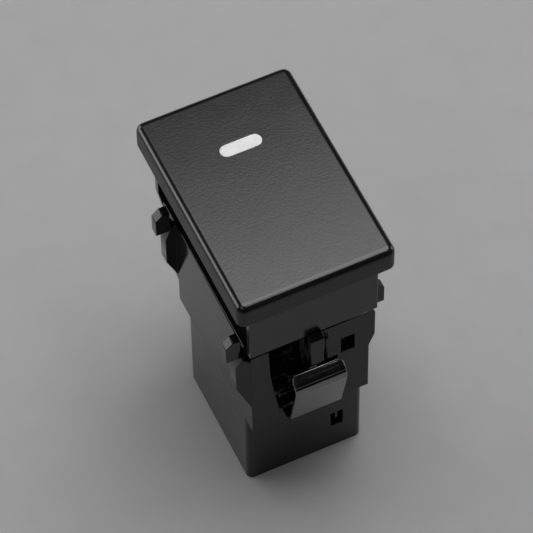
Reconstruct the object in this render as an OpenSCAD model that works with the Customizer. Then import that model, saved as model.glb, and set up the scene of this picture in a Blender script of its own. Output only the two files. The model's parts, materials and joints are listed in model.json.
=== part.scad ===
// Dashboard pushbutton switch with a latching plunger, an indicator lamp and a plug socket.
// Millimetres. X is across the button, Y runs to the back, Z is up; the base stands on Z = 0.

/* [Button cap] */
// Width of the button face
cap_w = 22.5; // [21.5:0.5:26]
// Length of the button face
cap_l = 33; // [32:0.5:38]
// Height of the cap's sides
cap_side = 3.9; // [3.2:0.1:6]
// Thickness of the cap's face
cap_roof = 1.6; // [1.2:0.1:2.2]
// Thickness of the cap's long sides
cap_wall = 1.3; // [0.9:0.1:1.8]
// Radius of the cap's upright corners
cap_corner_r = 1.2; // [1:0.1:2.4]
// Radius of the edge round the face
cap_edge_r = 0.85; // [0.4:0.05:0.95]
// Height of the cap's lower edge above the housing
button_rise = 12.7; // [11.5:0.1:15]
// Stroke of the button
travel = 3; // [2.4:0.1:3.4]

/* [Cap tongues] */
// Set-back of the tongues from the cap's long sides
tongue_side = 2; // [1.8:0.1:4]
// Thickness of the tongues
tongue_t = 1; // [0.8:0.1:1.4]
// Set-back of the tongues from the cap's ends
tongue_inset = 1.43; // [1.1:0.01:1.8]
// Length of the front tongue below the cap's lower edge
tongue_drop = 10.5; // [9.4:0.1:11.4]
// Length of the back tongue below the cap's lower edge
back_tongue_drop = 14.6; // [13.6:0.1:15]
// Narrowing of the back tongue's sides towards its lower end
tongue_taper = 0.7; // [0.4:0.1:1]

/* [Indicator] */
// Length of the lens across the cap
lens_l = 6; // [4:0.5:7]
// Width of the lens
lens_w = 2; // [1.6:0.1:2.6]
// Distance of the lens from the cap's back end
lens_from_back = 9.4; // [9:0.1:10.4]
// Rim of the lens under the cap's face
lens_rim = 0.8; // [0.5:0.1:1.2]
// Diameter of the lamp
led_d = 3; // [2.4:0.1:3.4]
// Height of the lamp
led_h = 4.5; // [3.6:0.1:5]

/* [Housing] */
// Set-back of the housing's sides from the cap's sides
side_inset = 2.57; // [2.2:0.01:2.85]
// Height of the housing above the base
housing_h = 18.2; // [17.4:0.1:21]
// Wall thickness of the housing and of the base
wall = 1.4; // [1.1:0.05:1.6]
// Height of the housing's overhang at the back
overhang_h = 13.6; // [12.6:0.1:14.4]
// Length of the housing's foot behind the base
heel = 2.85; // [2:0.05:3.4]

/* [Wings and nubs] */
// Reach of the guide wings beyond the housing's sides
wing_reach = 1.61; // [1.2:0.01:2]
// Thickness of the guide wings at their tips
wing_t = 1.85; // [1.5:0.05:2.1]
// Set-back of the front wings' tips from the plate; the left wing slants back by as much
wing_slant = 1.36; // [0.8:0.02:1.5]
// Distance of the back wings' front edges from the back plate
wing_back = 4.14; // [3.6:0.02:4.6]
// Reach of the nubs beyond the cap's sides
nub_over = 0.32; // [0.1:0.02:0.6]
// Thickness of the nubs
nub_t = 1.45; // [1.2:0.05:1.6]
// Height of the nubs
nub_h = 4.2; // [3.4:0.1:5]
// Bevel on the nubs' outer top edge
nub_bevel = 1.05; // [0.5:0.05:1.2]
// Gap between the nubs and the housing's sides
nub_gap = 0.77; // [0.5:0.01:0.9]

/* [Guide finger] */
// Width of the finger that guides the front tongue
finger_w = 2; // [1.6:0.1:2.4]
// Thickness of the finger
finger_t = 0.98; // [0.8:0.02:1.3]
// Height of the finger's foot below the housing's top
finger_drop = 3.6; // [3.3:0.1:4]
// Bevel on the finger's top, which rises towards the tongue
finger_bevel = 0.65; // [0.3:0.05:0.9]

/* [Panel clips] */
// Width of the panel clips
clip_w = 7.6; // [6:0.1:7.8]
// Thickness of the clips' steel
clip_t = 0.5; // [0.4:0.05:0.6]
// Reach of the clips' ridge beyond the plate
clip_reach = 3.66; // [3.2:0.02:4]
// Height of the ridge below the housing's top
clip_drop = 6.7; // [6.4:0.1:7.2]
// Length of the shoulder above the ridge
clip_shoulder = 1.75; // [1.4:0.05:2]
// Fold of the shoulder at the ridge
clip_fold = 54; // [48:1:60]
// Radius of the corners at the clips' free ends
clip_corner_r = 1; // [0.5:0.1:1.2]
// Height of the clips' windows below the housing's top
window_drop = 7.4; // [7.2:0.1:8]
// Depth of the pocket behind the plate
pocket_d = 1.34; // [1.1:0.02:1.7]

/* [Base] */
// Height of the base
base_h = 15.5; // [14.8:0.1:18]
// Length of the base
base_l = 19.28; // [18.6:0.02:20]
// Radius of the base's upright corners
base_corner_r = 0.9; // [0.4:0.1:1.2]
// Set-back of the base from the front plate
base_setback = 1.66; // [1.45:0.01:1.9]
// Depth of the plug socket
socket_d = 9.5; // [8:0.1:10]
// Thickness of the deck over the socket
deck_t = 3; // [2:0.1:3.6]

/* [Contacts] */
// Width of the plug blades
blade_w = 2.8; // [2:0.1:3]
// Thickness of the plug blades
blade_t = 0.8; // [0.6:0.05:0.9]
// Distance between the two switch contacts
contact_pitch = 6; // [5:0.1:6.4]
// Radius of the contact tips
tip_r = 1.1; // [0.8:0.05:1.3]

/* [Mechanism] */
// Wall thickness of the plunger
plunger_wall = 1.6; // [1.4:0.1:2]
// Reach of the plunger below the housing's ceiling
plunger_depth = 10.3; // [9.6:0.1:11]
// Outer diameter of the return spring
spring_d = 5.6; // [4.8:0.1:6]
// Wire diameter of the return spring
spring_wire = 0.6; // [0.4:0.05:0.7]
// Wire diameter of the latch pin
pin_d = 0.7; // [0.5:0.05:0.8]
// Sideways swing of the latch pin's tip
pin_swing = 2.4; // [2:0.1:2.8]

/* [Clearances] */
// Gap between the tongues and what guides them
tongue_gap = 0.13; // [0.08:0.01:0.25]
// Gap round the plunger in the housing's opening
slide_gap = 0.15; // [0.08:0.01:0.25]
// Gap between pieces that are fitted together
fit_gap = 0.08; // [0.04:0.01:0.12]
// Gap between pieces that pass each other freely
free_gap = 0.5; // [0.4:0.05:0.7]

/* [Hidden] */
$fn = 48;
cut = 1;

// Heights
deck_z = socket_d + deck_t;
roof_z = base_h + housing_h;
ceiling_z = roof_z - wall;
rim_z = roof_z + button_rise;
top_z = rim_z + cap_side;
under_z = top_z - cap_roof;
tongue_z = rim_z - tongue_drop;
back_tongue_z = rim_z - back_tongue_drop;
step_z = roof_z - overhang_h;
ridge_z = roof_z - clip_drop;
window_z = roof_z - window_drop;

// Housing, from the middle outwards
housing_l = cap_l - 2 * (tongue_inset + tongue_t + tongue_gap);
housing_w = cap_w - 2 * side_inset;
plate_y = housing_l / 2;
side_x = housing_w / 2;
inner_x = side_x - wall;
inner_y = plate_y - wall;
tongue_y = cap_l / 2 - tongue_inset;
tongue_w = cap_w - 2 * tongue_side;
partition_t = 1;
partition_y = inner_y - pocket_d;
mech_y = partition_y - partition_t;

// Wings and nubs
wing_x = side_x + wing_reach;
wing_tips = [wing_slant - plate_y, plate_y - wing_back];
wing_top = roof_z - 0.046 * housing_h;
wing_edge = [roof_z - 0.165 * housing_h, roof_z - 0.456 * housing_h];
wing_low = roof_z - 0.673 * housing_h;
nub_x = cap_w / 2 + nub_over;
nub_in = side_x + nub_gap;
nub_setback = 0.04;
nub_drop = 1.05;
nub_low = roof_z - nub_drop;
nub_root = 0.85;

// Base
base_front = base_setback - plate_y;
base_back = base_front + base_l;
step_y = base_back + heel;
step_slope = 2;
block_side = 1.6;
block_drop = 1;
lock_x = 4.83;
lock_w = 1.86;
lock_h = 3.2;
lock_drop = 1;

// Plunger, between the front partition and the lamp terminals, which stand before the base's back wall
lens_y = cap_l / 2 - lens_from_back;
lamp_room = 0.8;
lamp_y = base_back - wall - lamp_room - blade_t;
flange_d = 0.6;
flange_h = 1.8;
plunger_front = slide_gap + flange_d - mech_y;
plunger_back = lamp_y - 2 * free_gap;
plunger_l = plunger_back - plunger_front;
plunger_y = (plunger_front + plunger_back) / 2;
side_room = 1.88;
plunger_x = inner_x - side_room;
plunger_z = ceiling_z - plunger_depth;
seat_rise = 4;
seat_z = plunger_z + seat_rise;
hollow_rise = 5;
hollow_z = seat_z + hollow_rise;

// Lamp and board
lens_drop = 0.3;
lens_z = ceiling_z - lens_drop;
board_t = 1;
board_z = lens_z - travel - free_gap - led_h - board_t;
board_front = plunger_back + free_gap;
board_back = mech_y - fit_gap;
chip_l = 3.2;
chip_w = 1.6;
chip_h = 0.6;
diode_l = 2.6;
diode_w = 1.6;
diode_h = 1.1;
diode_lead = 0.45;
chip_inset = 2.3;
chip_x = inner_x - chip_inset;
chip_y = max(lens_y + 0.2 * led_d, lamp_y + blade_t + free_gap + chip_w / 2);
lamp_inset = 3.08;
lamp_x = inner_x - lamp_inset;
lamp_pin_over = 0.8;
rail_w = 1.1;
rail_h = 1;

// Contacts
upright_out = inner_x - fit_gap;
upright_in = upright_out - blade_t;
contact_rise = 2.6;
contact_z = seat_z + contact_rise;
open_gap = 0.5;
lip_l = min(2.2, plunger_y - (contact_pitch + blade_w + free_gap) / 2 - fit_gap + mech_y);
lip_h = 2;
supply_top = contact_z + tip_r + open_gap;
load_top = contact_z - tip_r - open_gap;
bridge_t = 0.5;
bridge_edge = 0.5;
bridge_h = 2 * (tip_r + bridge_edge);
bridge_l = contact_pitch + 2 * tip_r;
bridge_x = plunger_x - fit_gap - bridge_t;
contact_spring_d = 2.8;
contact_spring_wire = 0.4;
contact_bore = 3.8;
contact_spring_x = plunger_x - contact_bore;
blade_end = 1.8;
spring_room = 0.28;
blade_x = spring_d / 2 + spring_room;
blade_point = 0.8;
blade_nose = 0.6;
lamp_pin_w = 1.2;
lamp_waist = 1.5;

// Latch
pin_x = plunger_x + free_gap + pin_d / 2;
pivot_rise = 2.3;
pivot_z = deck_z + pivot_rise;
cam_rise = 2.4;
cam_z = plunger_z + cam_rise;
pin_l = cam_z - pivot_z;
track_room = 0.2;
track_w = pin_d + track_room;
track_d = 1.1;
lug_l = 3.2;
lug_w = 2.4;
lug_in = max(pin_x - lug_w, spring_d / 2 + spring_room);
pivot_leg = pin_x - lug_in - track_room;
track_leg = free_gap + pin_d / 2 + track_d - track_room;

// Clip windows, in the plate
window_l = 6.06;
window_r = finger_w / 2;
window_corner = 1.2;
window_lean = 0.9;
window_knee = 4;
clip_room = 0.2;

// Clips, as circles that the steel is bent round
stud_d = 1.6;
stud_head = 0.5;
foot_rise = 3.3;
leaf_w = 0.58 * clip_w;
leaf_h = 3.2;
leaf_y = partition_y + clip_t / 2;
ramp_inset = 1.6;
foot_r = (plate_y + clip_reach - ramp_inset - clip_t / 2 - leaf_y) / 2;
foot_y = leaf_y + foot_r;
foot_z = base_h + foot_rise;
leaf_z = foot_z + leaf_h;
ridge_in = 0.4;
ridge_r = ridge_in + clip_t / 2;
ridge_y = plate_y + clip_reach - clip_t / 2 - ridge_r;
clip_lean = atan2(ridge_y - foot_y, ridge_z - foot_z)
    - asin((foot_r - ridge_r) / norm([ridge_y - foot_y, ridge_z - foot_z]));
shoulder_at = [ridge_y, ridge_z] + ridge_r * [cos(clip_fold), sin(clip_fold)];
shoulder_end = shoulder_at + clip_shoulder * [-sin(clip_fold), cos(clip_fold)];
stud_z = (leaf_z + foot_z) / 2;

// Hole beside the finger that takes the base's snap arm
snap_room = 0.74;
snap_left = clip_w / 2 + snap_room;
snap_w = inner_x - snap_left - snap_room;
snap_low = window_z + 0.1;
snap_h = 3.4;

// Box between two corners, given as ranges along X, Y and Z
module span(x, y, z) {
    translate([x[0], y[0], z[0]])
        cube([x[1] - x[0], y[1] - y[0], z[1] - z[0]]);
}

// Extrudes an outline of Y and Z along X
module along_x(x) {
    translate([x[0], 0, 0])
        rotate([90, 0, 90])
            linear_extrude(x[1] - x[0])
                children();
}

// Extrudes an outline of X and Z along Y
module along_y(y) {
    translate([0, y[1], 0])
        rotate([90, 0, 0])
            linear_extrude(y[1] - y[0])
                children();
}

// Draws its children on both sides of the YZ plane
module both_sides() {
    children();
    mirror([1, 0, 0]) children();
}

// Flat outline with two round ends, along X
module stadium(l, w) {
    square([l - w, w], center = true);
    for (s = [-1, 1])
        translate([s * (l - w) / 2, 0])
            circle(d = w);
}

// Flat rectangle with round corners
module rounded(w, l, r) {
    square([w - 2 * r, l], center = true);
    square([w, l - 2 * r], center = true);
    for (sx = [-1, 1], sy = [-1, 1])
        translate([sx * (w / 2 - r), sy * (l / 2 - r)])
            circle(r);
}

// Flat bar with round ends between two points
module bar(p, q, w) {
    d = q - p;
    for (c = [p, q])
        translate(c)
            circle(d = w);
    translate(p)
        rotate(atan2(d[1], d[0]))
            translate([0, -w / 2])
                square([norm(d), w]);
}

// Flat sector of a ring, from one angle to another, under half a turn
module ring_sector(r, t, from, to) {
    far = 4 * (r + t);
    intersection() {
        difference() {
            circle(r + t / 2);
            circle(r - t / 2);
        }
        polygon(concat([[0, 0]],
            [for (a = [from, (from + to) / 2, to]) far * [cos(a), sin(a)]]));
    }
}

// Round wire along a helix with closed end turns
module coil(d, wire, h, turns, sides, steps) {
    r = (d - wire) / 2;
    pitch = (h - 3 * wire) / (turns - 2);
    n = turns * steps;
    function rise(t) = wire / 2 + wire * min(t, 1)
        + pitch * min(max(t - 1, 0), turns - 2)
        + wire * max(t - turns + 1, 0);
    points = [for (i = [0:n]) for (j = [0:sides - 1])
        let (a = 360 * i / steps, b = 360 * j / sides, w = r + wire / 2 * cos(b))
        [w * cos(a), w * sin(a), rise(i / steps) + wire / 2 * sin(b)]];
    walls = [for (i = [0:n - 1]) for (j = [0:sides - 1])
        let (k = (j + 1) % sides)
        [i * sides + j, (i + 1) * sides + j, (i + 1) * sides + k, i * sides + k]];
    ends = [[for (j = [0:sides - 1]) j], [for (j = [sides - 1:-1:0]) n * sides + j]];
    polyhedron(points, concat(walls, ends));
}

// Housing: outer form with its stepped back
module housing_form() {
    along_x([-side_x, side_x])
        polygon([
            [-plate_y, base_h], [-plate_y, roof_z], [plate_y, roof_z],
            [plate_y, step_z + step_slope], [step_y, step_z], [step_y, base_h]
        ]);
    half = clip_w / 2 + block_side;
    span([-half, half], [0, plate_y], [base_h, roof_z - block_drop]);
}

// Guide wing on the right side; its tip's front edge is at y, its root may be further forward
module wing(y, forward = 0) {
    intersection() {
        along_y([y - forward, y + wing_t])
            polygon([
                [inner_x, wing_top], [side_x + wing_reach / 2, wing_top],
                [wing_x, wing_edge[0]], [wing_x, wing_edge[1]],
                [side_x, wing_low], [inner_x, wing_low]
            ]);
        translate([0, 0, wing_low])
            linear_extrude(wing_top - wing_low)
                polygon([
                    [inner_x, y - forward], [side_x, y - forward], [wing_x, y],
                    [wing_x, y + wing_t], [inner_x, y + wing_t]
                ]);
    }
}

// Nub on the right side, above a wing and clear of the housing's side
module nub(y) {
    top = nub_low + nub_h;
    along_y([y, y + nub_t])
        polygon([
            [inner_x, nub_low], [nub_x, nub_low], [nub_x, top - nub_bevel], [nub_x - nub_bevel, top],
            [nub_in, top], [nub_in, nub_low + nub_root], [inner_x, nub_low + nub_root]
        ]);
}

// Finger that keeps the front tongue against the plate, drawn for the back end
module finger() {
    low = roof_z - finger_drop;
    face = tongue_y + tongue_gap;
    top = tongue_z + 0.4;
    root = tongue_z - travel - free_gap - 0.2;
    along_x([-finger_w / 2, finger_w / 2])
        polygon([
            [inner_y, low], [face + finger_t, low], [face + finger_t, top - finger_bevel],
            [face, top], [face, root], [inner_y, root]
        ]);
}

// Space inside the housing
module housing_room() {
    along_x([-inner_x, inner_x])
        polygon([
            [-inner_y, base_h - cut], [-inner_y, ceiling_z], [inner_y, ceiling_z],
            [inner_y, step_z + step_slope + wall], [step_y - wall, step_z + wall],
            [step_y - wall, base_h + wall], [base_back, base_h + wall], [base_back, base_h - cut]
        ]);
}

// Pocket of the rear clip, in the middle of the stepped back
module rear_pocket() {
    half = clip_w / 2 + clip_room;
    span([-half, half], [partition_y, plate_y + cut], [base_h - cut, window_z]);
}

// Window of the front clip, with a taller opening beside the finger
module front_window() {
    half = clip_w / 2 + clip_room;
    along_y([-plate_y - cut, -inner_y])
        polygon([
            [-half, base_h - cut], [-half, base_h], [window_lean - window_l, window_z - window_knee],
            [window_lean / 3 - window_l, window_z + window_corner],
            [-window_l, roof_z], [-window_l, roof_z + cut],
            [-window_r, roof_z + cut], [-window_r, window_z], [half, window_z], [half, base_h - cut]
        ]);
}

// Square hole that takes the base's snap arm
module snap_hole() {
    span([snap_left, snap_left + snap_w], [-plate_y - cut, -inner_y + cut], [snap_low, snap_low + snap_h]);
}

// Partition with the headed stud that a clip's inner leaf hangs on
module clip_partition() {
    span([-clip_w / 2 - free_gap, clip_w / 2 + free_gap], [mech_y, partition_y], [base_h, ceiling_z]);
    translate([0, partition_y, stud_z])
        rotate([-90, 0, 0]) {
            cylinder(d = stud_d, h = clip_t + stud_head);
            translate([0, 0, clip_t])
                cylinder(d = stud_d + 2 * stud_head, h = stud_head);
        }
}

// Rails that carry the lamp board, and the rib that keeps the latch pin in its track
module inner_ribs() {
    both_sides()
        span([inner_x - rail_w, inner_x], [lamp_y, mech_y], [board_z - rail_h, board_z]);
    span([-inner_x, -pin_x - pin_d / 2 - slide_gap], [plunger_y - pin_swing, plunger_y + pin_swing],
        [base_h + lip_h, cam_z + track_w]);
}

module upper_housing() {
    color([0.06, 0.06, 0.065]) {
        difference() {
            union() {
                housing_form();
                both_sides()
                    for (y = wing_tips) {
                        wing(y);
                        nub(y + nub_setback);
                    }
                mirror([1, 0, 0]) wing(wing_tips[0], wing_slant);
                mirror([0, 1, 0]) finger();
            }
            housing_room();
            rear_pocket();
            front_window();
            snap_hole();
            span([-plunger_x - slide_gap, plunger_x + slide_gap],
                [plunger_front - slide_gap, plunger_back + slide_gap], [ceiling_z - cut, roof_z + cut]);
            translate([0, lens_y, ceiling_z - cut])
                linear_extrude(wall + 2 * cut)
                    stadium(lens_l + free_gap, lens_w + free_gap);
        }
        mirror([0, 1, 0]) clip_partition();
        clip_partition();
        inner_ribs();
    }
}

// Steel strip bent round: inner leaf, foot, ramp, ridge and shoulder, for the back end
module clip_strip() {
    lap = 0.05;
    ramp_at = [foot_y, foot_z] + foot_r * [cos(clip_lean), -sin(clip_lean)];
    ramp_to = [ridge_y, ridge_z] + ridge_r * [cos(clip_lean), -sin(clip_lean)];
    span([-leaf_w / 2, leaf_w / 2], [partition_y, partition_y + clip_t], [foot_z - lap, leaf_z]);
    along_x([-clip_w / 2, clip_w / 2]) {
        translate([foot_y, foot_z])
            ring_sector(foot_r, clip_t, 180, 360 - clip_lean);
        translate(ramp_at)
            rotate(-clip_lean)
                translate([-clip_t / 2, -lap])
                    square([clip_t, norm(ramp_to - ramp_at) + 2 * lap]);
        translate([ridge_y, ridge_z])
            ring_sector(ridge_r, clip_t, -clip_lean, clip_fold);
        translate(shoulder_at)
            rotate(clip_fold)
                translate([-clip_t / 2, -lap])
                    square([clip_t, clip_shoulder + lap]);
    }
}

// Rounds the two corners at the free end of a clip's shoulder
module clip_corners() {
    r = clip_corner_r;
    translate([0, shoulder_end[0], shoulder_end[1]])
        rotate([clip_fold, 0, 0])
            both_sides()
                along_y([-cut, cut])
                    translate([clip_w / 2 - r, -r])
                        difference() {
                            square(2 * r);
                            circle(r);
                        }
}

module panel_clip() {
    color([0.42, 0.42, 0.43])
        difference() {
            clip_strip();
            clip_corners();
            translate([0, partition_y - cut, stud_z])
                rotate([-90, 0, 0])
                    cylinder(d = stud_d + 2 * fit_gap, h = clip_t + 2 * cut);
        }
}

module front_clip() {
    mirror([0, 1, 0]) panel_clip();
}

module rear_clip() {
    panel_clip();
}

// Arm of the base, with a low tooth that snaps into the housing's square hole
module snap_arm() {
    x = [snap_left + 0.1, snap_left + snap_w - 0.1];
    tooth = snap_low + 0.1;
    tooth_d = 0.4;
    face = fit_gap - inner_y;
    span(x, [face, base_front + 1.1], [base_h, tooth + 2 * tooth_d]);
    along_x(x)
        polygon([
            [face, tooth], [face - tooth_d, tooth], [face - tooth_d, tooth + tooth_d / 2],
            [face, tooth + 1.5 * tooth_d]
        ]);
}

// Lug with the hole that the latch pin turns in
module latch_lug() {
    lug_x = [-pin_x + pin_d / 2 + fit_gap, -lug_in];
    difference() {
        span(lug_x, [plunger_y - lug_l / 2, plunger_y + lug_l / 2], [deck_z, pivot_z + 1.5]);
        translate([lug_x[0] - cut, plunger_y, pivot_z])
            rotate([0, 90, 0])
                cylinder(d = pin_d + 0.1, h = 2 * cut + lug_x[1] - lug_x[0]);
    }
}

// Slots in the deck for the four blades
module blade_slots() {
    g = fit_gap / 2;
    for (s = [-1, 1]) {
        y = plunger_y + s * contact_pitch / 2;
        span([blade_x - g, blade_x + blade_t + g], [y - blade_w / 2 - g, y + blade_w / 2 + g],
            [socket_d - cut, deck_z + cut]);
        span([s * lamp_x - blade_w / 2 - g, s * lamp_x + blade_w / 2 + g],
            [lamp_y - g, lamp_y + blade_t + g], [socket_d - cut, deck_z + cut]);
    }
}

// Lock window in the base's front wall, with a tooth hanging into it
module lock_window() {
    top = socket_d - lock_drop;
    span([lock_x - lock_w / 2, lock_x + lock_w / 2], [base_front - cut, base_front + wall + cut],
        [top - lock_h, top]);
}

module lock_tooth() {
    top = socket_d - lock_drop;
    span([lock_x - lock_w / 8, lock_x + lock_w / 6], [base_front + wall / 5, base_front + wall],
        [top - 0.6 * lock_h, top + 0.1]);
}

module connector_base() {
    inner_front = base_front + wall;
    inner_back = base_back - wall;
    color([0.05, 0.05, 0.055]) {
        difference() {
            translate([0, (base_front + base_back) / 2, 0])
                linear_extrude(base_h)
                    rounded(housing_w, base_l, base_corner_r);
            span([-inner_x, inner_x], [inner_front, inner_back], [-cut, socket_d]);
            span([-inner_x, inner_x], [inner_front, inner_back], [deck_z, base_h + cut]);
            blade_slots();
            lock_window();
        }
        lock_tooth();
        snap_arm();
        latch_lug();
        translate([0, plunger_y, deck_z])
            cylinder(d = spring_d - 2 * spring_wire - free_gap, h = 2.5);
        // Lips that centre the base in the housing
        both_sides()
            for (y = [fit_gap - mech_y, inner_back - lip_l])
                span([inner_x - rail_w, inner_x - fit_gap], [y, y + lip_l], [deck_z, base_h + lip_h]);
    }
}

// Terminal with a plug blade, a tab on the deck and an upright for the moving contact
module switch_terminal(y, top) {
    w = [y - blade_w / 2, y + blade_w / 2];
    color([0.78, 0.62, 0.32]) {
        along_x([blade_x, blade_x + blade_t])
            polygon([
                [w[0], deck_z], [w[0], blade_end + blade_point], [w[0] + blade_nose, blade_end],
                [w[1] - blade_nose, blade_end], [w[1], blade_end + blade_point], [w[1], deck_z]
            ]);
        span([blade_x, upright_out], w, [deck_z, deck_z + blade_t]);
        span([upright_in, upright_out], w, [deck_z, top]);
    }
}

module supply_terminal() {
    switch_terminal(plunger_y - contact_pitch / 2, supply_top);
}

module load_terminal() {
    switch_terminal(plunger_y + contact_pitch / 2, load_top);
}

// Straight terminal with a plug blade below and a thin pin up through the lamp board
module lamp_terminal(x) {
    half = blade_w / 2;
    neck = lamp_pin_w / 2;
    waist_z = deck_z + lamp_waist;
    pin_top = board_z + board_t + lamp_pin_over;
    color([0.78, 0.62, 0.32])
        along_y([lamp_y, lamp_y + blade_t])
            polygon([
                [x - half, blade_end + blade_point], [x - half + blade_nose, blade_end],
                [x + half - blade_nose, blade_end], [x + half, blade_end + blade_point],
                [x + half, waist_z], [x + neck, waist_z], [x + neck, pin_top],
                [x - neck, pin_top], [x - neck, waist_z], [x - half, waist_z]
            ]);
}

module lamp_feed_terminal() {
    lamp_terminal(-lamp_x);
}

module lamp_return_terminal() {
    lamp_terminal(lamp_x);
}

module circuit_board() {
    pin_half = lamp_pin_w / 2 + fit_gap;
    color([0.1, 0.35, 0.18])
        difference() {
            span([-inner_x + fit_gap, inner_x - fit_gap], [board_front, board_back],
                [board_z, board_z + board_t]);
            for (s = [-1, 1])
                span([s * lamp_x - pin_half, s * lamp_x + pin_half],
                    [lamp_y - fit_gap, lamp_y + blade_t + fit_gap],
                    [board_z - cut, board_z + board_t + cut]);
        }
}

module indicator_led() {
    color([0.85, 0.95, 0.85])
        translate([0, lens_y, board_z + board_t]) {
            cylinder(d = led_d + 0.8, h = 1);
            cylinder(d = led_d, h = led_h - led_d / 2);
            translate([0, 0, led_h - led_d / 2])
                sphere(d = led_d);
        }
}

module series_resistor() {
    color([0.15, 0.15, 0.15])
        translate([-chip_x, chip_y, board_z + board_t])
            span([-chip_l / 2, chip_l / 2], [-chip_w / 2, chip_w / 2], [0, chip_h]);
}

module blocking_diode() {
    y = chip_y;
    z = board_z + board_t;
    color([0.12, 0.12, 0.12]) {
        translate([chip_x, y, z + 0.1])
            span([-diode_l / 2, diode_l / 2], [-diode_w / 2, diode_w / 2], [0, diode_h - 0.1]);
        translate([chip_x, y, z])
            span([-diode_l / 2 - diode_lead, diode_l / 2 + diode_lead],
                [-diode_w / 4, diode_w / 4], [0, 0.3]);
    }
}

module return_spring() {
    color([0.7, 0.7, 0.72])
        translate([0, plunger_y, deck_z])
            coil(spring_d, spring_wire, seat_z - deck_z, 8, 8, 16);
}

module latch_pin() {
    color([0.75, 0.75, 0.77]) {
        translate([-pin_x, plunger_y, pivot_z])
            cylinder(d = pin_d, h = pin_l);
        for (leg = [[pivot_z, pivot_leg], [cam_z, track_leg]])
            translate([-pin_x, plunger_y, leg[0]]) {
                sphere(d = pin_d);
                rotate([0, 90, 0])
                    cylinder(d = pin_d, h = leg[1]);
            }
    }
}

// Cap form: four round corner posts with rounded tops, joined
module cap_form() {
    hull()
        for (sx = [-1, 1], sy = [-1, 1])
            translate([sx * (cap_w / 2 - cap_corner_r), sy * (cap_l / 2 - cap_corner_r), rim_z])
                rotate_extrude($fn = 32) {
                    square([cap_corner_r, cap_side - cap_edge_r]);
                    square([cap_corner_r - cap_edge_r, cap_side]);
                    translate([cap_corner_r - cap_edge_r, cap_side - cap_edge_r])
                        intersection() {
                            circle(cap_edge_r, $fn = 32);
                            square(cap_edge_r);
                        }
                }
}

// Frame under the cap's face that plugs into the plunger, with a hook on each long side
module cap_plug() {
    x = plunger_x - plunger_wall - fit_gap;
    y = [plunger_front + plunger_wall + fit_gap, plunger_back - plunger_wall - fit_gap];
    t = 1.1;
    z = [under_z - 4, under_z];
    difference() {
        span([-x, x], y, z);
        span([t - x, x - t], [y[0] + t, y[1] - t], [z[0] - cut, z[1]]);
    }
    both_sides()
        along_y([plunger_y - 1.5, plunger_y + 1.5])
            polygon([
                [x - 0.2, z[0] + 0.3], [x + 0.2, z[0] + 0.3],
                [x + 0.7, z[0] + 1], [x - 0.2, z[0] + 1]
            ]);
}

// Tongue at the back, narrower below
module back_tongue() {
    half = tongue_w / 2;
    along_y([tongue_y - tongue_t, tongue_y])
        polygon([
            [-half, under_z], [-half, tongue_z], [tongue_taper - half, back_tongue_z],
            [half - tongue_taper, back_tongue_z], [half, tongue_z], [half, under_z]
        ]);
}

module button_cap() {
    color([0.13, 0.13, 0.135]) {
        difference() {
            cap_form();
            span([cap_wall - cap_w / 2, cap_w / 2 - cap_wall], [-tongue_y, tongue_y],
                [rim_z - cut, under_z]);
            translate([0, lens_y, under_z - cut])
                linear_extrude(cap_roof + 2 * cut)
                    stadium(lens_l + fit_gap, lens_w + fit_gap);
        }
        span([-tongue_w / 2, tongue_w / 2], [-tongue_y, tongue_t - tongue_y], [tongue_z, under_z]);
        back_tongue();
        cap_plug();
    }
}

module indicator_lens() {
    color([0.93, 0.93, 0.91])
        translate([0, lens_y, 0]) {
            translate([0, 0, lens_z])
                linear_extrude(top_z - lens_z)
                    stadium(lens_l, lens_w);
            translate([0, 0, under_z - 1])
                linear_extrude(1)
                    stadium(lens_l + 2 * lens_rim, lens_w + 2 * lens_rim);
        }
}

// Heart-shaped track: out along one side, back over the notch and down the other side
module heart_track() {
    overrun = 1.08;
    lift = travel - pin_l * (1 - cos(asin(pin_swing / pin_l)));
    start = [plunger_y, cam_z];
    left = start + overrun * [-pin_swing, lift];
    right = start + overrun * [pin_swing, lift];
    notch = start + [0, 0.78 * lift];
    bar(start, left, track_w);
    bar(left, notch, track_w);
    bar(notch, right, track_w);
    bar(right, start, track_w);
}

module plunger() {
    inside = [plunger_front + plunger_wall, plunger_back - plunger_wall];
    stop_z = ceiling_z - fit_gap;
    bore_d = spring_d + 0.8;
    color([0.82, 0.82, 0.78])
        difference() {
            union() {
                span([-plunger_x, plunger_x], [plunger_front, plunger_back], [plunger_z, under_z]);
                span([-4, 4], [plunger_front - flange_d, plunger_back + flange_d],
                    [stop_z - flange_h, stop_z]);
            }
            span([plunger_wall - plunger_x, plunger_x - plunger_wall], inside, [hollow_z, under_z + cut]);
            translate([0, plunger_y, plunger_z - cut])
                cylinder(d = bore_d, h = seat_z - plunger_z + cut);
            along_x([-plunger_x - cut, track_d - plunger_x])
                heart_track();
            // Recess of the moving contact, and the bore of its spring
            span([bridge_x - fit_gap, plunger_x + cut],
                [plunger_y - bridge_l / 2 - fit_gap, plunger_y + bridge_l / 2 + fit_gap],
                [contact_z - bridge_h / 2 - fit_gap, contact_z + bridge_h / 2 + fit_gap]);
            translate([contact_spring_x, plunger_y, contact_z])
                rotate([0, 90, 0])
                    cylinder(d = contact_spring_d + 0.3, h = plunger_x - contact_spring_x);
            // Windows for the cap's hooks
            span([-plunger_x - cut, plunger_x + cut], [plunger_y - 1.7, plunger_y + 1.7],
                [under_z - 3.8, under_z - 2.8]);
        }
}

module contact_bridge() {
    color([0.8, 0.5, 0.3])
        span([bridge_x, bridge_x + bridge_t],
            [plunger_y - bridge_l / 2, plunger_y + bridge_l / 2],
            [contact_z - bridge_h / 2, contact_z + bridge_h / 2]);
}

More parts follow.
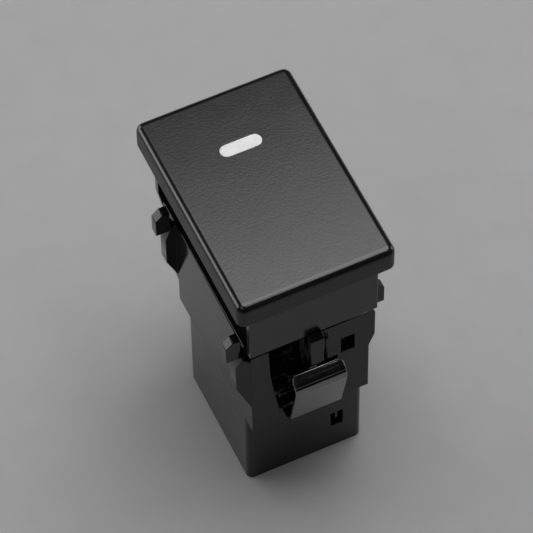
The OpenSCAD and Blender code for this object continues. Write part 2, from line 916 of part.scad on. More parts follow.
module contact_tips() {
    tip_end = upright_in - fit_gap;
    dome = 0.3;
    color([0.85, 0.85, 0.86])
        for (s = [-1, 1])
            translate([bridge_x + bridge_t, plunger_y + s * contact_pitch / 2, contact_z])
                rotate([0, 90, 0]) {
                    cylinder(r = tip_r, h = tip_end - dome - bridge_x - bridge_t);
                    translate([0, 0, tip_end - dome - bridge_x - bridge_t])
                        cylinder(r1 = tip_r, r2 = tip_r - 2 * dome, h = dome);
                }
}

module contact_spring() {
    color([0.7, 0.7, 0.72])
        translate([contact_spring_x, plunger_y, contact_z])
            rotate([0, 90, 0])
                coil(contact_spring_d, contact_spring_wire, bridge_x - contact_spring_x, 5, 6, 12);
}

upper_housing();
connector_base();
front_clip();
rear_clip();
supply_terminal();
load_terminal();
lamp_feed_terminal();
lamp_return_terminal();
circuit_board();
indicator_led();
series_resistor();
blocking_diode();
return_spring();
latch_pin();
button_cap();
indicator_lens();
plunger();
contact_bridge();
contact_tips();
contact_spring();
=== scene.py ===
# %% [markdown]
# # A dashboard pushbutton switch
# The switch is a stack of mouldings: a satin button on top, a glossy black housing that clips into a
# panel, and a plug socket below it. Most of what a photograph shows of it is reflection, because the
# plastic itself is nearly black. So this lesson spends its effort on three things: small rounded edges,
# finishes whose gloss is right, and a light that gives those finishes something to mirror.
#
# The CAD model comes in first and stays where it is. Everything is in metres, in the CAD model's frame.

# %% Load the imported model
import json
import math

import bmesh
import bpy
from mathutils import Matrix, Vector

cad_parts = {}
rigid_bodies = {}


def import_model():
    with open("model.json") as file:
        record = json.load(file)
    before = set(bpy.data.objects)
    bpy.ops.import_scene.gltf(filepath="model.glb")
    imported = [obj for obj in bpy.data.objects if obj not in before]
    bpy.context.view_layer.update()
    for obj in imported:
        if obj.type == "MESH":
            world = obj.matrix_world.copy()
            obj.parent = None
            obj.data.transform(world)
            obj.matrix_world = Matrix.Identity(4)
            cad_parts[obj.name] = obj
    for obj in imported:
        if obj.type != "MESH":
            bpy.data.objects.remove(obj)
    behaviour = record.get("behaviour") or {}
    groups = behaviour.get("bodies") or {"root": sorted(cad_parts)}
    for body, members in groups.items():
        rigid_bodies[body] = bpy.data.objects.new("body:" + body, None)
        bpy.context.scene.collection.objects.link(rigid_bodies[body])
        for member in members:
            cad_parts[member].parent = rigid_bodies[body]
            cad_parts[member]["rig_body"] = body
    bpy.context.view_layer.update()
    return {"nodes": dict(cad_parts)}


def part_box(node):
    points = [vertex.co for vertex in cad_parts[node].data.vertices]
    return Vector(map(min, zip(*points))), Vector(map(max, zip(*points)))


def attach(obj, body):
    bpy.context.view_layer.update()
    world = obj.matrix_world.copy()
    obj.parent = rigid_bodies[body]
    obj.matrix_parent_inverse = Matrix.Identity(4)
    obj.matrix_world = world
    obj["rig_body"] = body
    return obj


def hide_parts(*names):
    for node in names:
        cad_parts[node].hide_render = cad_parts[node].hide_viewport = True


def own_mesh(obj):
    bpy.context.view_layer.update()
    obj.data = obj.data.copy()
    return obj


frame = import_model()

MM = 0.001
scene = bpy.context.scene
scene.view_settings.view_transform = "Standard"

# %% [markdown]
# ## The camera
# The photograph was taken from above the front left corner with a long lens, so the button's edges stay
# nearly parallel. A long lens far away is also the easiest to match: two angles set the direction, a
# small roll levels it, and the distance and the focal length together set the size.

# %% Set up the camera
YAW, PITCH, ROLL = (math.radians(a) for a in (24.352, 56.546, -1.034))
IMAGE_SIDE = 533
FOCAL_PIXELS = 3746.9
SENSOR = 36.0
DISTANCE = 503.0 * MM
AIM_HEIGHT = 30.68 * MM
AIM_SHIFT = (0.138 * MM, 0.295 * MM)
NEAREST = 10 * MM


def add_object(name, data):
    """A new object with the given data, in the scene."""
    added = bpy.data.objects.new(name, data)
    scene.collection.objects.link(added)
    return added


back = Vector((-math.sin(YAW) * math.cos(PITCH), -math.cos(YAW) * math.cos(PITCH), math.sin(PITCH)))
level = Vector((math.cos(YAW), -math.sin(YAW), 0))
rise = back.cross(level)
right = level * math.cos(ROLL) + rise * math.sin(ROLL)
up = rise * math.cos(ROLL) - level * math.sin(ROLL)
aim = Vector((0, 0, AIM_HEIGHT)) + level * AIM_SHIFT[0] + rise * AIM_SHIFT[1]

camera_data = bpy.data.cameras.new("camera")
camera_data.sensor_width = SENSOR
camera_data.lens = FOCAL_PIXELS / IMAGE_SIDE * SENSOR
camera_data.clip_start = NEAREST
camera = add_object("camera", camera_data)
camera_turn = Matrix((right, up, back)).transposed().to_4x4()
camera.matrix_world = Matrix.Translation(aim + back * DISTANCE) @ camera_turn
scene.camera = camera
print("camera at", [round(v, 4) for v in camera.location], "lens", round(camera_data.lens, 1))

# %% [markdown]
# ## Helpers for node materials
# Every finish here is a Principled shader fed by noise in Object coordinates. Object coordinates are in
# metres and belong to the piece, so a grain of a tenth of a millimetre is simply a scale of ten
# thousand, and it stays put when the piece moves. Small helpers keep the trees short. The first ones
# start a material and make single nodes, and the next ones make what most finishes share: a noise, a
# mix of two colours and a relief.

# %% Single nodes
def parts_of(material):
    """The tree, the Principled node and the Object coordinates of a finish."""
    tree = material.node_tree
    return tree, tree.nodes["Principled BSDF"], tree.nodes["Texture Coordinate"].outputs["Object"]


def start_finish(name):
    """A new material with its tree, its Principled node and its Object coordinates."""
    material = bpy.data.materials.new(name)
    material.use_nodes = True
    material.node_tree.nodes.new("ShaderNodeTexCoord")
    return material, *parts_of(material)


def feed(tree, socket, value):
    """Links a node's input to a socket, or sets it to a plain number."""
    if isinstance(value, bpy.types.NodeSocket):
        tree.links.new(value, socket)
    else:
        socket.default_value = value


def math_node(tree, operation, *values):
    """A Math node; each value is a socket or a plain number."""
    node = tree.nodes.new("ShaderNodeMath")
    node.operation = operation
    for socket, value in zip(node.inputs, values):
        feed(tree, socket, value)
    return node.outputs[0]


def map_value(tree, value, source, target):
    """Maps a value from one range to another and stays within it; a range may hold sockets."""
    node = tree.nodes.new("ShaderNodeMapRange")
    labels = ("Value", "From Min", "From Max", "To Min", "To Max")
    for label, given in zip(labels, (value, *source, *target)):
        feed(tree, node.inputs[label], given)
    return node.outputs["Result"]


# %% Noise, colour and relief
# Most values of a noise lie in this span
NOISE_SPAN = (0.3, 0.7)


def grain(tree, where, size_mm, low, high, stretch=(1, 1, 1), detail=2.0):
    """A noise with features of about size_mm, mapped to the range from low to high."""
    mapping = tree.nodes.new("ShaderNodeMapping")
    mapping.inputs["Scale"].default_value = stretch
    noise = tree.nodes.new("ShaderNodeTexNoise")
    noise.inputs["Scale"].default_value = 1 / (size_mm * MM)
    noise.inputs["Detail"].default_value = detail
    tree.links.new(where, mapping.inputs["Vector"])
    tree.links.new(mapping.outputs["Vector"], noise.inputs["Vector"])
    return map_value(tree, noise.outputs["Fac"], NOISE_SPAN, (low, high))


def tint(tree, factor, dark, light):
    """Mixes two colours by a factor from 0 to 1."""
    mix = tree.nodes.new("ShaderNodeMix")
    mix.data_type = "RGBA"
    mix.inputs["A"].default_value = (*dark, 1)
    mix.inputs["B"].default_value = (*light, 1)
    tree.links.new(factor, mix.inputs["Factor"])
    return mix.outputs["Result"]


def relief(tree, shader, height, depth_mm):
    """Adds a height to the shader's normal through a Bump node, on top of a relief that is there."""
    bump = tree.nodes.new("ShaderNodeBump")
    bump.inputs["Distance"].default_value = depth_mm * MM
    tree.links.new(height, bump.inputs["Height"])
    normal = shader.inputs["Normal"]
    if normal.is_linked:
        tree.links.new(normal.links[0].from_socket, bump.inputs["Normal"])
    tree.links.new(bump.outputs["Normal"], normal)

# %% [markdown]
# ## Black plastics
# The button is textured: its mould was etched, so it scatters the light and looks satin. The housing and
# the socket come from a polished mould and mirror the table. The colour is almost the same, a deep
# black, and gloss and grain tell them apart. The button's sides are duller than its face. A second
# material would end at a hard line, so the roughness of the one material rises as the surface turns
# away from looking up, and only above the button's lower edge, which leaves its tongues as they are.

# %% A moulded finish
# Size of the mottle in the gloss, as a share of the mottle in the colour
GLOSS_MOTTLE = 0.6
MOULD_DETAIL = 3.0


def moulded(name, dark, light, roughness, grain_mm, depth_mm, mottle_mm=4.0, shine=0.5):
    """Moulded plastic: a faint mottle in colour and gloss, and a fine grain in the surface."""
    material, tree, shader, where = start_finish(name)
    shader.inputs["Specular IOR Level"].default_value = shine
    colour = tint(tree, grain(tree, where, mottle_mm, 0, 1), dark, light)
    tree.links.new(colour, shader.inputs["Base Color"])
    gloss = grain(tree, where, mottle_mm * GLOSS_MOTTLE, *roughness)
    tree.links.new(gloss, shader.inputs["Roughness"])
    relief(tree, shader, grain(tree, where, grain_mm, 0, 1, detail=MOULD_DETAIL), depth_mm)
    return material


# %% Duller sides
# A face is wholly a side up to the first height of its normal, and looks up from the second
SIDE_TILT = (0.05, 0.35)
SIDE_FADE_MM = 0.1


def above_height(tree, where, height_mm, fade_mm):
    """A value that goes from 0 to 1 over a short fade above a height."""
    place = tree.nodes.new("ShaderNodeSeparateXYZ")
    tree.links.new(where, place.inputs["Vector"])
    return map_value(tree, place.outputs["Z"], (height_mm * MM, (height_mm + fade_mm) * MM), (0, 1))


def dull_sides(material, above_mm, extra_roughness):
    """Makes the faces of a moulding that don't look up rougher, above a height."""
    tree, shader, where = parts_of(material)
    facing = tree.nodes.new("ShaderNodeSeparateXYZ")
    tree.links.new(tree.nodes.new("ShaderNodeNewGeometry").outputs["Normal"], facing.inputs["Vector"])
    tilted = map_value(tree, facing.outputs["Z"], SIDE_TILT, (1, 0))
    side = math_node(tree, "MULTIPLY", tilted, above_height(tree, where, above_mm, SIDE_FADE_MM))
    added = math_node(tree, "MULTIPLY", side, extra_roughness)
    roughness = shader.inputs["Roughness"].links[0].from_socket
    tree.links.new(math_node(tree, "ADD", roughness, added), shader.inputs["Roughness"])


# %% Black plastics
BLACK, SOFT_BLACK, GREY_BLACK = ((v, v, v) for v in (0.006, 0.010, 0.016))
cap_satin = moulded(
    "cap_satin", BLACK, SOFT_BLACK, roughness=(0.17, 0.2), grain_mm=0.26, depth_mm=0.0037)
dull_sides(cap_satin, above_mm=46.3, extra_roughness=0.28)
housing_gloss = moulded(
    "housing_gloss", BLACK, SOFT_BLACK, roughness=(0.07, 0.11), grain_mm=0.25, depth_mm=0.0003, shine=0.3)
base_gloss = moulded(
    "base_gloss", BLACK, SOFT_BLACK, roughness=(0.12, 0.18), grain_mm=0.25, depth_mm=0.0003, shine=0.4)
plunger_nylon = moulded(
    "plunger_nylon", SOFT_BLACK, GREY_BLACK, roughness=(0.4, 0.5), grain_mm=0.3, depth_mm=0.003)
print("plastics:", [m.name for m in (cap_satin, housing_gloss, base_gloss, plunger_nylon)])

# %% [markdown]
# ## Metals
# The panel clips are rolled spring steel. Rolling leaves streaks along the strip, so the noise is
# stretched in the plane that the strip runs in. The tool that bends the ridge leaves fine lines across
# it, which are a second relief. Wire is drawn; on so thin a wire a fine noise, a little stretched, is
# enough. Terminals are stamped from brass strip, with streaks along their height.

# %% A metal finish
METAL_DETAIL = 4.0
# Size of the streaks in the gloss, in times the streaks in the colour
GLOSS_STREAK = 3
MARK_MM, MARK_FADE_MM, MARK_DETAIL = 0.4, 0.6, 1.0
MARK_STRETCH = (0.02, 1, 1)


def metal(name, dark, light, roughness, stretch, streak_mm, depth_mm):
    """Rolled or drawn metal, with streaks where the noise is stretched."""
    material, tree, shader, where = start_finish(name)
    shader.inputs["Metallic"].default_value = 1.0
    streaks = grain(tree, where, streak_mm, 0, 1, stretch=stretch, detail=METAL_DETAIL)
    tree.links.new(tint(tree, streaks, dark, light), shader.inputs["Base Color"])
    gloss = grain(tree, where, streak_mm * GLOSS_STREAK, *roughness, stretch=stretch)
    tree.links.new(gloss, shader.inputs["Roughness"])
    relief(tree, shader, streaks, depth_mm)
    return material


def bend_marks(material, above_mm, depth_mm):
    """Adds the lines that a bending tool leaves across a strip, along X, above a height."""
    tree, shader, where = parts_of(material)
    high = above_height(tree, where, above_mm, MARK_FADE_MM)
    marks = grain(tree, where, MARK_MM, 0, 1, stretch=MARK_STRETCH, detail=MARK_DETAIL)
    relief(tree, shader, math_node(tree, "MULTIPLY", marks, high), depth_mm)


# %% Metals
clip_steel = metal(
    "clip_steel", (0.19, 0.19, 0.195), (0.23, 0.23, 0.235), roughness=(0.14, 0.2),
    stretch=(1, 0.08, 0.08), streak_mm=0.25, depth_mm=0.0008)
bend_marks(clip_steel, above_mm=25.8, depth_mm=0.04)
spring_wire = metal(
    "spring_wire", (0.5, 0.5, 0.51), (0.62, 0.62, 0.63), roughness=(0.22, 0.32),
    stretch=(1, 1, 0.3), streak_mm=0.3, depth_mm=0.001)
terminal_brass = metal(
    "terminal_brass", (0.62, 0.42, 0.15), (0.75, 0.53, 0.22), roughness=(0.2, 0.32),
    stretch=(1, 1, 0.1), streak_mm=0.3, depth_mm=0.002)
contact_silver = metal(
    "contact_silver", (0.75, 0.74, 0.72), (0.85, 0.84, 0.82), roughness=(0.25, 0.4),
    stretch=(1, 1, 1), streak_mm=0.4, depth_mm=0.002)
print("metals:", [m.name for m in (clip_steel, spring_wire, terminal_brass, contact_silver)])

# %% [markdown]
# ## The lit window and the lamp
# The window is a bar of milky plastic that carries the lamp's light up to the button's face. Unlit it is
# simply white with a little depth, so it gets some scattering below the surface. The lamp is clear resin.
# The board's green lacquer and the matt chip body are moulded finishes with other numbers.

# %% Lens, lamp and board finishes
SCATTER_WEIGHT, SCATTER_REACH = 0.15, 0.8 * MM
LAMP_CLEARNESS = 0.6
milky_lens = moulded(
    "milky_lens", (0.66, 0.66, 0.655), (0.74, 0.74, 0.735), roughness=(0.28, 0.36),
    grain_mm=0.3, depth_mm=0.001, mottle_mm=1.5)
lens_shader = parts_of(milky_lens)[1]
lens_shader.inputs["Subsurface Weight"].default_value = SCATTER_WEIGHT
lens_shader.inputs["Subsurface Radius"].default_value = (SCATTER_REACH, SCATTER_REACH, SCATTER_REACH)
lamp_resin = moulded(
    "lamp_resin", (0.72, 0.78, 0.74), (0.8, 0.86, 0.82), roughness=(0.05, 0.1),
    grain_mm=0.5, depth_mm=0.0005)
parts_of(lamp_resin)[1].inputs["Transmission Weight"].default_value = LAMP_CLEARNESS
board_mask = moulded(
    "board_mask", (0.02, 0.10, 0.045), (0.03, 0.14, 0.06), roughness=(0.25, 0.4),
    grain_mm=0.25, depth_mm=0.004, mottle_mm=1.2)
chip_body = moulded(
    "chip_body", (0.015, 0.015, 0.015), (0.03, 0.03, 0.03), roughness=(0.4, 0.55),
    grain_mm=0.1, depth_mm=0.003, mottle_mm=0.6)
print("others:", [m.name for m in (milky_lens, lamp_resin, board_mask, chip_body)])

# %% [markdown]
# ## Edges that catch the light
# A CAD solid has edges of no width, and such an edge never shines. A real moulding has a radius of a
# tenth of a millimetre or so on every edge, and on black plastic that thin bright line is what draws the
# shape. So each node is copied, its loose triangles are merged into whole faces, and a Bevel modifier
# rounds the edges. A Weighted Normal modifier then gives the large faces the say at each corner, so a
# flat face mirrors like a flat face. The CAD node itself is left as it is, and the copy stands for it.

# %% Merge and round
BEVEL_ANGLE, FLAT_ANGLE = math.radians(32), math.radians(0.6)
MERGE = 0.001 * MM
FACE_WEIGHT = 100


def smooth_faces(mesh):
    """Smooth shading that breaks at the edges sharper than BEVEL_ANGLE."""
    mesh.shade_smooth()
    mesh.set_sharp_from_angle(angle=BEVEL_ANGLE)


def merged_mesh(node, name):
    """A copy of a CAD node's mesh with its triangles joined into whole faces."""
    mesh = frame["nodes"][node].data.copy()
    mesh.name = name
    work = bmesh.new()
    work.from_mesh(mesh)
    bmesh.ops.remove_doubles(work, verts=work.verts, dist=MERGE)
    bmesh.ops.dissolve_limit(work, angle_limit=FLAT_ANGLE, verts=work.verts, edges=work.edges)
    work.to_mesh(mesh)
    work.free()
    if mesh.has_custom_normals:
        mesh.attributes.remove(mesh.attributes["custom_normal"])
    smooth_faces(mesh)
    return mesh


def round_edges(piece, edge_mm, segments=2):
    """Rounds the edges that are sharper than BEVEL_ANGLE and keeps large faces flat in the shading."""
    bevel = piece.modifiers.new("rounded_edges", "BEVEL")
    bevel.width = edge_mm * MM
    bevel.segments = segments
    bevel.limit_method = "ANGLE"
    bevel.angle_limit = BEVEL_ANGLE
    bevel.use_clamp_overlap = False
    flat = piece.modifiers.new("flat_faces", "WEIGHTED_NORMAL")
    flat.mode = "FACE_AREA"
    flat.weight = FACE_WEIGHT
    flat.keep_sharp = True


# %% Finished copies of the CAD nodes
def finished_copy(node, name, finish, edge_mm, segments=2):
    """A merged copy of a CAD node with rounded edges, which stands for the node."""
    mesh = merged_mesh(node, name)
    mesh.materials.clear()
    mesh.materials.append(finish)
    piece = add_object(name, mesh)
    round_edges(piece, edge_mm, segments)
    body = frame["nodes"][node]["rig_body"]
    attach(piece, body)
    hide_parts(node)
    print(name, "faces", len(mesh.polygons), "rides on", body)
    return piece

# %% [markdown]
# ## Mouldings
# The plastic pieces are finished copies. The button's rim is a little rounder in the photograph than in
# the CAD model. On a rounding, the way in from the side and the way down from the top grow together with
# the radius, so scaling both gives the rounder rim and leaves the face and the sides in place.

# %% Mouldings
def widen_rim(piece, half, corner, old, new):
    """Scales the rounding along a box's top edge from one radius to another, in millimetres."""
    top = max(v.co.z for v in piece.data.vertices)
    growth = new / old - 1
    for vertex in piece.data.vertices:
        down = top - vertex.co.z
        out = Vector([max(abs(vertex.co[i]) - (half[i] - corner) * MM, 0) for i in range(2)])
        inset = corner * MM - out.length
        if down < old * MM + MERGE and out.length > 0 and inset < old * MM + MERGE:
            inward = out.normalized() * max(inset, 0) * growth
            for i in range(2):
                vertex.co[i] -= math.copysign(inward[i], vertex.co[i])
            vertex.co.z -= down * growth


CAP_HALF, CAP_CORNER_R = (11.25, 16.5), 1.2
RIM_R, ROUNDER_RIM_R = 0.85, 1.1
cap = finished_copy("button_cap", "cap", cap_satin, edge_mm=0.085, segments=3)
widen_rim(cap, CAP_HALF, CAP_CORNER_R, RIM_R, ROUNDER_RIM_R)
finished_copy("upper_housing", "housing", housing_gloss, edge_mm=0.1)
finished_copy("connector_base", "socket", base_gloss, edge_mm=0.08)
finished_copy("plunger", "slider", plunger_nylon, edge_mm=0.08)
finished_copy("indicator_lens", "light_bar", milky_lens, edge_mm=0.08)

# %% [markdown]
# ## Stamped metal and wire
# The terminals and the contact strip are stamped from sheet, the contact tips are small rivets, and the
# latch is a bent wire. The CAD solids already have these forms, so finished copies are enough. Stamping
# rolls an edge over a little, and the narrow pieces get the finer edges.

# %% Stamped metal and wire
for name in ("supply", "load", "lamp_feed", "lamp_return"):
    finished_copy(name + "_terminal", name + "_blade", terminal_brass, edge_mm=0.08)
finished_copy("contact_bridge", "bridge_strip", terminal_brass, edge_mm=0.06)
finished_copy("contact_tips", "tip_rivets", contact_silver, edge_mm=0.06)
finished_copy("latch_pin", "latch_wire", spring_wire, edge_mm=0.05)

# %% [markdown]
# ## The lamp board
# A small board holds the lamp under the light bar, and the diode and the resistor of its circuit. Board,
# lamp and diode each have one finish, so they are finished copies too. The resistor shows two finishes
# and is made further on.

# %% Lamp board
finished_copy("circuit_board", "board", board_mask, edge_mm=0.05)
finished_copy("indicator_led", "lamp", lamp_resin, edge_mm=0.06)
finished_copy("blocking_diode", "diode", chip_body, edge_mm=0.06)

# %% [markdown]
# ## Clips bent from strip
# A panel clip is one strip of steel, bent along its length: an inner leaf, a round foot, a straight ramp,
# a rounded ridge and a short shoulder. Bevelling such thin curved steel tends to tear at the bends. It is
# easier to say where the middle of the strip runs, how wide and how thick it is there, and to carry a
# flat section with rounded corners along that line. Towards the free end the width follows a quarter
# circle, which rounds the two corners, and over the last two tenths of a millimetre the thickness does
# too. The ridge is bent more softly than in the CAD model, as the photograph shows it.

# %% The line of a clip
STRIP_T, STRIP_HALF, LEAF_HALF = 0.5, 3.8, 2.204
LEAF_Y, LEAF_TOP, LEAF_LAP = 11.45, 22.0, 0.02
STUD_Z, STUD_HOLE = 20.4, 1.76
FOOT, FOOT_R = (13.6, 18.8), 2.15
RIDGE, RIDGE_R = (15.6, 26.4), 1.75
FOLD, SHOULDER, CORNER_R, STRIP_EDGE = math.radians(54), 1.24, 1.0, 0.2
FOOT_STEPS, RIDGE_STEPS, SHOULDER_STEPS = 40, 20, 24
across = (RIDGE[0] - FOOT[0], RIDGE[1] - FOOT[1])
LEAN = math.atan2(*across) - math.asin((FOOT_R - RIDGE_R) / math.hypot(*across))


def arc(centre, radius, start, end, steps):
    """Places on an arc, each with the direction away from the arc's centre."""
    places = []
    for i in range(steps + 1):
        a = start + (end - start) * i / steps
        out = (math.cos(a), math.sin(a))
        places.append((centre[0] + radius * out[0], centre[1] + radius * out[1], *out))
    return places


def quarter(distance, radius):
    """How far a rounded end falls back from its full width, at a distance from the end."""
    if distance >= radius:
        return 0.0
    return radius - math.sqrt(radius ** 2 - (radius - distance) ** 2)


def clip_rows():
    """Rows along a rear clip: place, outward direction, half width and half thickness, in millimetres."""
    half_t = STRIP_T / 2
    # The leaf is narrower than the foot and ends just above it, so the two widths meet in a short step
    rows = [(LEAF_Y, z, -1, 0, LEAF_HALF, half_t) for z in (LEAF_TOP, FOOT[1] + LEAF_LAP)]
    bends = arc(FOOT, FOOT_R, math.pi, math.tau - LEAN, FOOT_STEPS)
    bends += arc(RIDGE, RIDGE_R, -LEAN, FOLD, RIDGE_STEPS)
    rows += [(*place, STRIP_HALF, half_t) for place in bends]
    start = bends[-1]
    for step in range(1, SHOULDER_STEPS + 1):
        gone = SHOULDER * math.sin(step / SHOULDER_STEPS * math.pi / 2)
        left = SHOULDER - gone
        rows.append((
            start[0] - gone * math.sin(FOLD), start[1] + gone * math.cos(FOLD), start[2], start[3],
            STRIP_HALF - quarter(left, CORNER_R), half_t - quarter(left, STRIP_EDGE)))
    return rows


print("clip rows:", len(clip_rows()), "lean", round(math.degrees(LEAN), 2))

# %% Section and hole
# Largest corner radius as a share of half the thickness, so that the corners stay apart
EDGE_LIMIT = 0.98
HOLE_SIDES, DRILL_LENGTH = 48, 2 * MM


def section(half_w, half_t, edge, steps=5):
    """Points round a flat section with rounded corners."""
    edge = min(edge, EDGE_LIMIT * half_t)
    points = []
    for corner, (sx, sy) in enumerate(((1, 1), (-1, 1), (-1, -1), (1, -1))):
        for step in range(steps + 1):
            a = (corner + step / steps) * math.pi / 2
            u = sx * (half_w - edge) + edge * math.cos(a)
            v = sy * (half_t - edge) + edge * math.sin(a)
            points.append((u, v))
    return points


def plain_mesh(piece):
    """A plain mesh of what a piece's modifiers make, with the modifiers taken off."""
    state = bpy.context.evaluated_depsgraph_get()
    mesh = bpy.data.meshes.new_from_object(piece.evaluated_get(state), depsgraph=state)
    piece.modifiers.clear()
    return mesh


def drill(piece, y, z, diameter):
    """Cuts a round hole along Y through a piece."""
    work = bmesh.new()
    radius = diameter / 2
    bmesh.ops.create_cone(
        work, cap_ends=True, segments=HOLE_SIDES, radius1=radius, radius2=radius, depth=DRILL_LENGTH)
    bmesh.ops.rotate(work, verts=work.verts, matrix=Matrix.Rotation(math.pi / 2, 3, "X"))
    bmesh.ops.translate(work, verts=work.verts, vec=(0, y, z))
    mesh = bpy.data.meshes.new("drill")
    work.to_mesh(mesh)
    work.free()
    tool = add_object("drill", mesh)
    cut = piece.modifiers.new("hole", "BOOLEAN")
    cut.operation = "DIFFERENCE"
    cut.object = tool
    piece.data = plain_mesh(piece)
    bpy.data.objects.remove(tool)


# %% Sweep the clips
def spring_clip(node, name, side):
    """A clip swept from its rows; side is 1 for the back and -1 for the front."""
    work = bmesh.new()
    rings = []
    for y, z, out_y, out_z, half_w, half_t in clip_rows():
        ring = []
        for u, v in section(half_w, half_t, STRIP_EDGE):
            ring.append(work.verts.new((u * MM, side * (y + v * out_y) * MM, (z + v * out_z) * MM)))
        rings.append(ring)
    for a, b in zip(rings, rings[1:]):
        for i in range(len(a)):
            j = (i + 1) % len(a)
            work.faces.new((a[i], a[j], b[j], b[i]))
    work.faces.new(rings[0])
    work.faces.new(rings[-1])
    bmesh.ops.recalc_face_normals(work, faces=work.faces)
    mesh = bpy.data.meshes.new(name)
    work.to_mesh(mesh)
    work.free()
    mesh.materials.append(clip_steel)
    piece = add_object(name, mesh)
    drill(piece, side * LEAF_Y * MM, STUD_Z * MM, STUD_HOLE * MM)
    smooth_faces(piece.data)
    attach(piece, "housing")
    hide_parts(node)


spring_clip("front_clip", "front_spring_clip", -1)
spring_clip("rear_clip", "rear_spring_clip", 1)

# %% [markdown]
# ## A resistor with tinned ends
# A chip resistor is a small ceramic block with a metal cap on each end. The CAD node is one plain block,
# so it is replaced by three bevelled blocks of the same overall size. The middle one is a little thinner
# and lower than the caps, as the real one is.

# %% Resistor
def block(work, low, high):
    """Adds a box between two corners to a bmesh."""
    made = bmesh.ops.create_cube(work, size=1)
    size = Vector(high) - Vector(low)
    centre = (Vector(high) + Vector(low)) / 2
    bmesh.ops.scale(work, vec=size, verts=made["verts"])
    bmesh.ops.translate(work, vec=centre, verts=made["verts"])


def block_piece(name, boxes, finish, edge_mm):
    """A piece made of boxes with rounded edges, on the housing."""
    work = bmesh.new()
    for low, high in boxes:
        block(work, low, high)
    mesh = bpy.data.meshes.new(name)
    work.to_mesh(mesh)
    work.free()
    mesh.materials.append(finish)
    smooth_faces(mesh)
    piece = add_object(name, mesh)
    round_edges(piece, edge_mm)
    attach(piece, "housing")
    print(name, "boxes", len(boxes))
    return piece


low, high = (Vector(v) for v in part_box("series_resistor"))
END_CAP = 0.5 * MM
INSET = 0.05 * MM
resistor_body = block_piece(
    "resistor_body",
    [((low.x + INSET, low.y + INSET, low.z + INSET), (high.x - INSET, high.y - INSET, high.z - INSET))],
    chip_body, edge_mm=0.03)
block_piece(
    "resistor_ends",
    [(tuple(low), (low.x + END_CAP, high.y, high.z)), ((high.x - END_CAP, low.y, low.z), tuple(high))],
    contact_silver, edge_mm=0.06)
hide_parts("series_resistor")

# %% [markdown]
# ## Springs that follow a rule
# A compression spring is one round wire along a helix, with its first and last turn closed so that it
# stands flat. That is a rule with a few numbers, which suits Geometry Nodes: a line is cut into points,
# each point is put on the helix by its number, and a circle is swept along the result. The same tree
# makes both springs of the switch. Afterwards the result is turned into a plain mesh.

# %% Points on a helix
# Each closed turn rises by one wire, and half a wire lies beyond the line at each end
CLOSED_ENDS_IN_WIRES = 3.0


def helix(tree, given):
    """A curve of points on a helix along Z, whose first and last turn rise by one wire."""
    link = tree.links.new
    line = tree.nodes.new("GeometryNodeCurvePrimitiveLine")
    points = tree.nodes.new("GeometryNodeResampleCurve")
    link(line.outputs["Curve"], points.inputs["Curve"])
    steps = math_node(tree, "MULTIPLY", given["Turns"], given["Points per turn"])
    link(math_node(tree, "ADD", steps, 1.0), points.inputs["Count"])

    index = tree.nodes.new("GeometryNodeInputIndex").outputs["Index"]
    turn = math_node(tree, "DIVIDE", index, given["Points per turn"])
    angle = math_node(tree, "MULTIPLY", turn, math.tau)
    wire = math_node(tree, "MULTIPLY", given["Wire radius"], 2.0)
    last = math_node(tree, "SUBTRACT", given["Turns"], 1.0)
    ends = math_node(tree, "MULTIPLY", wire, CLOSED_ENDS_IN_WIRES)
    open_part = math_node(tree, "SUBTRACT", given["Length"], ends)
    height = given["Wire radius"]
    for start, end, climb in ((0.0, 1.0, wire), (1.0, last, open_part), (last, given["Turns"], wire)):
        height = math_node(tree, "ADD", height, map_value(tree, turn, (start, end), (0.0, climb)))

    spot = tree.nodes.new("ShaderNodeCombineXYZ")
    for axis, operation in (("X", "COSINE"), ("Y", "SINE")):
        swing = math_node(tree, operation, angle)
        link(math_node(tree, "MULTIPLY", given["Coil radius"], swing), spot.inputs[axis])
    link(height, spot.inputs["Z"])
    moved = tree.nodes.new("GeometryNodeSetPosition")
    link(points.outputs["Curve"], moved.inputs["Geometry"])
    link(spot.outputs["Vector"], moved.inputs["Position"])
    return moved.outputs["Geometry"]


# %% Spring tree
SPRING_INPUTS = (
    ("Geometry", "Geometry"), ("Coil radius", "Float"), ("Wire radius", "Float"), ("Length", "Float"),
    ("Turns", "Int"), ("Points per turn", "Int"), ("Wire sides", "Int"), ("Material", "Material"))


def spring_tree():
    """Geometry Nodes for a compression spring along Z with closed end turns."""
    tree = bpy.data.node_groups.new("compression_spring", "GeometryNodeTree")
    tree.is_modifier = True
    for name, kind in SPRING_INPUTS:
        tree.interface.new_socket(name=name, in_out="INPUT", socket_type="NodeSocket" + kind)
    tree.interface.new_socket(name="Geometry", in_out="OUTPUT", socket_type="NodeSocketGeometry")
    given = tree.nodes.new("NodeGroupInput").outputs
    link = tree.links.new

    wire_section = tree.nodes.new("GeometryNodeCurvePrimitiveCircle")
    link(given["Wire sides"], wire_section.inputs["Resolution"])
    link(given["Wire radius"], wire_section.inputs["Radius"])
    sweep = tree.nodes.new("GeometryNodeCurveToMesh")
    sweep.inputs["Fill Caps"].default_value = True
    link(helix(tree, given), sweep.inputs["Curve"])
    link(wire_section.outputs["Curve"], sweep.inputs["Profile Curve"])
    real = tree.nodes.new("GeometryNodeRealizeInstances")
    link(sweep.outputs["Mesh"], real.inputs["Geometry"])
    finish = tree.nodes.new("GeometryNodeSetMaterial")
    link(real.outputs["Geometry"], finish.inputs["Geometry"])
    link(given["Material"], finish.inputs["Material"])
    link(finish.outputs["Geometry"], tree.nodes.new("NodeGroupOutput").inputs["Geometry"])
    return tree


